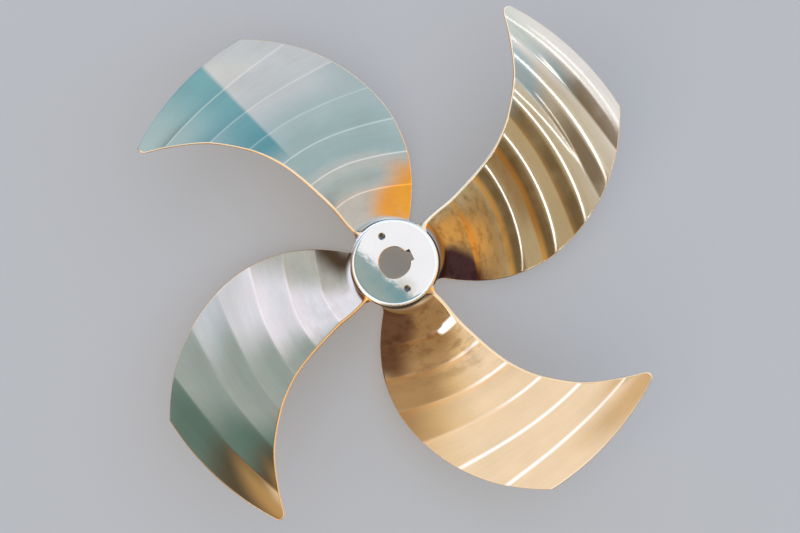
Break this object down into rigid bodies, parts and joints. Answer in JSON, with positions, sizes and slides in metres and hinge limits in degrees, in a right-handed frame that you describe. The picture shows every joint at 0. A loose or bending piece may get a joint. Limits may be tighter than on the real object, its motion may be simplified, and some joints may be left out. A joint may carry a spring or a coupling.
{
  "type": "ship propeller",
  "caption": "Highly skewed fixed-pitch ship propeller, cast in one piece, with a tapered bore, a keyway and threaded puller holes in its hub.",
  "frame": {"origin": "on the shaft axis, in the plane of the hub's forward face, on which the propeller lies", "axes": "+Z along the shaft axis from forward to aft; +X through the middle of the keyway; the puller holes are on +Y and -Y"},
  "size_m": [0.9876, 0.9876, 0.239],
  "materials": {
    "bronze": "nickel aluminium bronze, milled in shallow bands and polished to a satin gloss"
  },
  "bodies": {
    "root": {"propeller": "bronze"}
  },
  "joints": []
}
